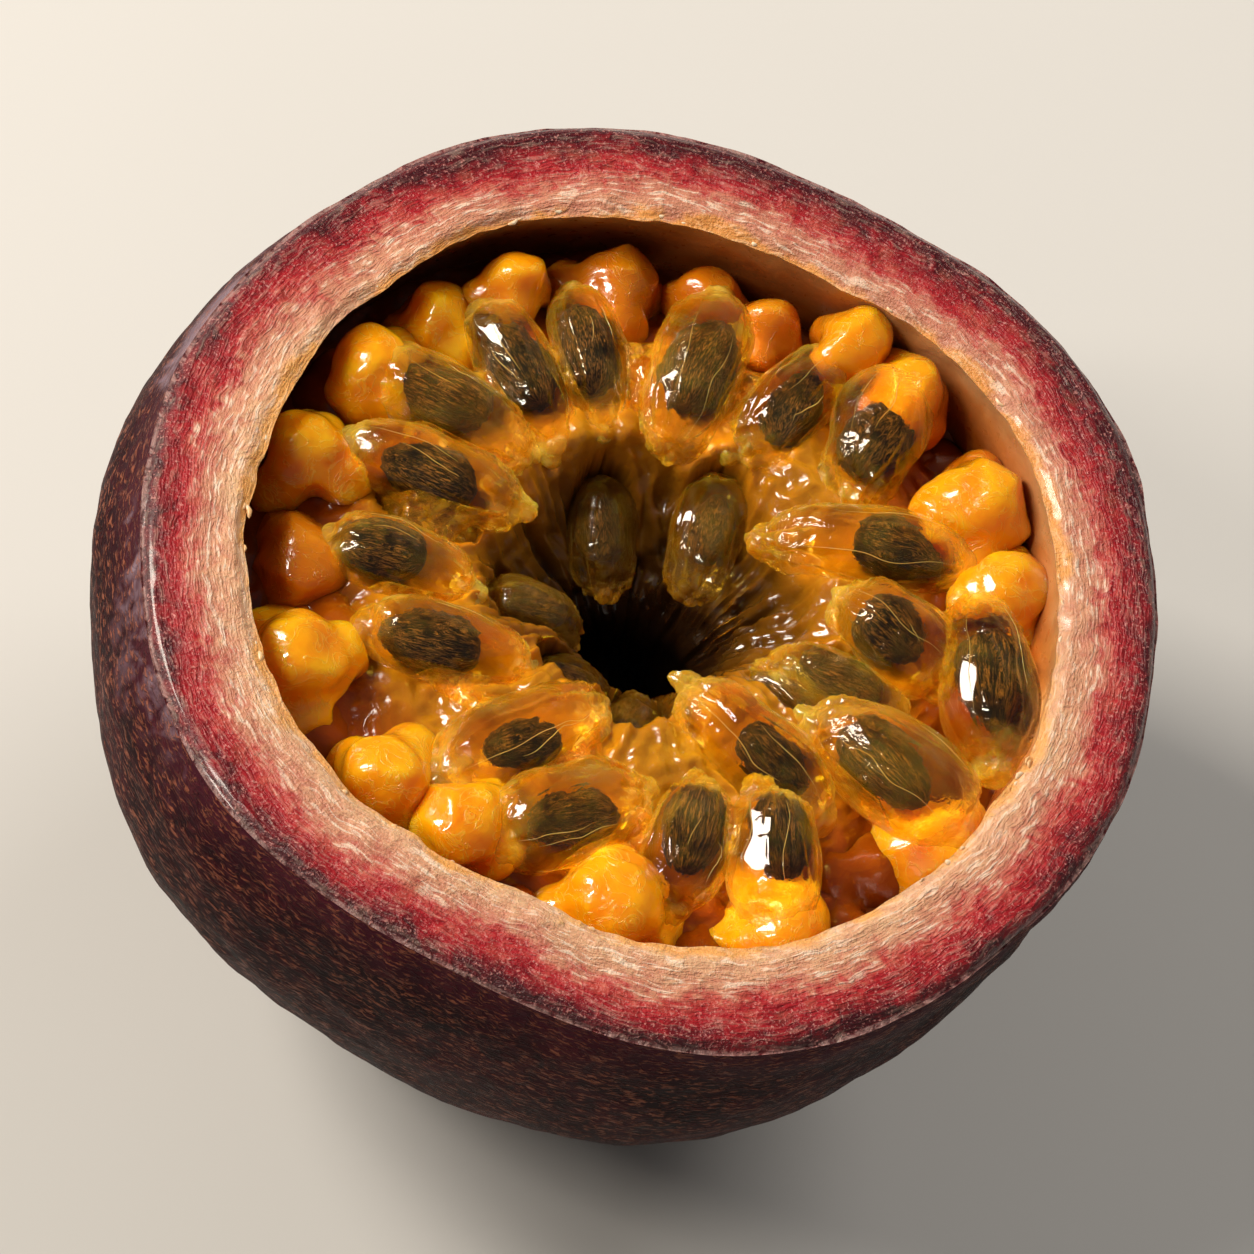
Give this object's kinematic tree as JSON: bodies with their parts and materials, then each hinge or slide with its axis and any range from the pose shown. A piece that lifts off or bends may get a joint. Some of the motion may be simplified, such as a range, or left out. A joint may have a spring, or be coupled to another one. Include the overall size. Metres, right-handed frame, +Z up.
{
  "type": "passion fruit half",
  "caption": "Passion fruit half, cut side up: a thick purple-skinned red rind and pale pith round golden jelly, with seed sacs lying like wheel spokes round a central hollow.",
  "frame": {"origin": "middle of the small flat spot that the half rests on", "axes": "+Z up, square to the cut face; +X towards the side where the cut face overhangs the fullest part a little; +Y square to both"},
  "size_m": [0.0596, 0.058, 0.0354],
  "materials": {
    "rind": "waxy",
    "pith": "moist",
    "pulp_bed": "wet",
    "sac_gel": "glossy wet",
    "seed": "glossy wet",
    "stalk_bulb": "glossy wet"
  },
  "bodies": {
    "root": {"rind": "rind", "pith": "pith", "pulp_bed": "pulp_bed", "sac_01": "sac_gel", "sac_02": "sac_gel", "sac_03": "sac_gel", "sac_04": "sac_gel", "sac_05": "sac_gel", "sac_06": "sac_gel", "sac_07": "sac_gel", "sac_08": "sac_gel", "sac_09": "sac_gel", "sac_10": "sac_gel", "sac_11": "sac_gel", "sac_12": "sac_gel", "sac_13": "sac_gel", "sac_14": "sac_gel", "sac_15": "sac_gel", "sac_16": "sac_gel", "sac_17": "sac_gel", "sac_18": "sac_gel", "deep_sac_01": "sac_gel", "deep_sac_02": "sac_gel", "deep_sac_03": "sac_gel", "deep_sac_04": "sac_gel", "deep_sac_05": "sac_gel", "deep_sac_06": "sac_gel", "deep_sac_07": "sac_gel", "deep_sac_08": "sac_gel", "bulb_01": "stalk_bulb", "bulb_02": "stalk_bulb", "bulb_03": "stalk_bulb", "bulb_04": "stalk_bulb", "bulb_05": "stalk_bulb", "bulb_06": "stalk_bulb", "bulb_07": "stalk_bulb", "bulb_08": "stalk_bulb", "bulb_09": "stalk_bulb", "bulb_10": "stalk_bulb", "bulb_11": "stalk_bulb", "bulb_12": "stalk_bulb", "bulb_13": "stalk_bulb", "bulb_14": "stalk_bulb", "bulb_15": "stalk_bulb", "bulb_16": "stalk_bulb", "bulb_17": "stalk_bulb", "bulb_18": "stalk_bulb"}
  },
  "joints": []
}
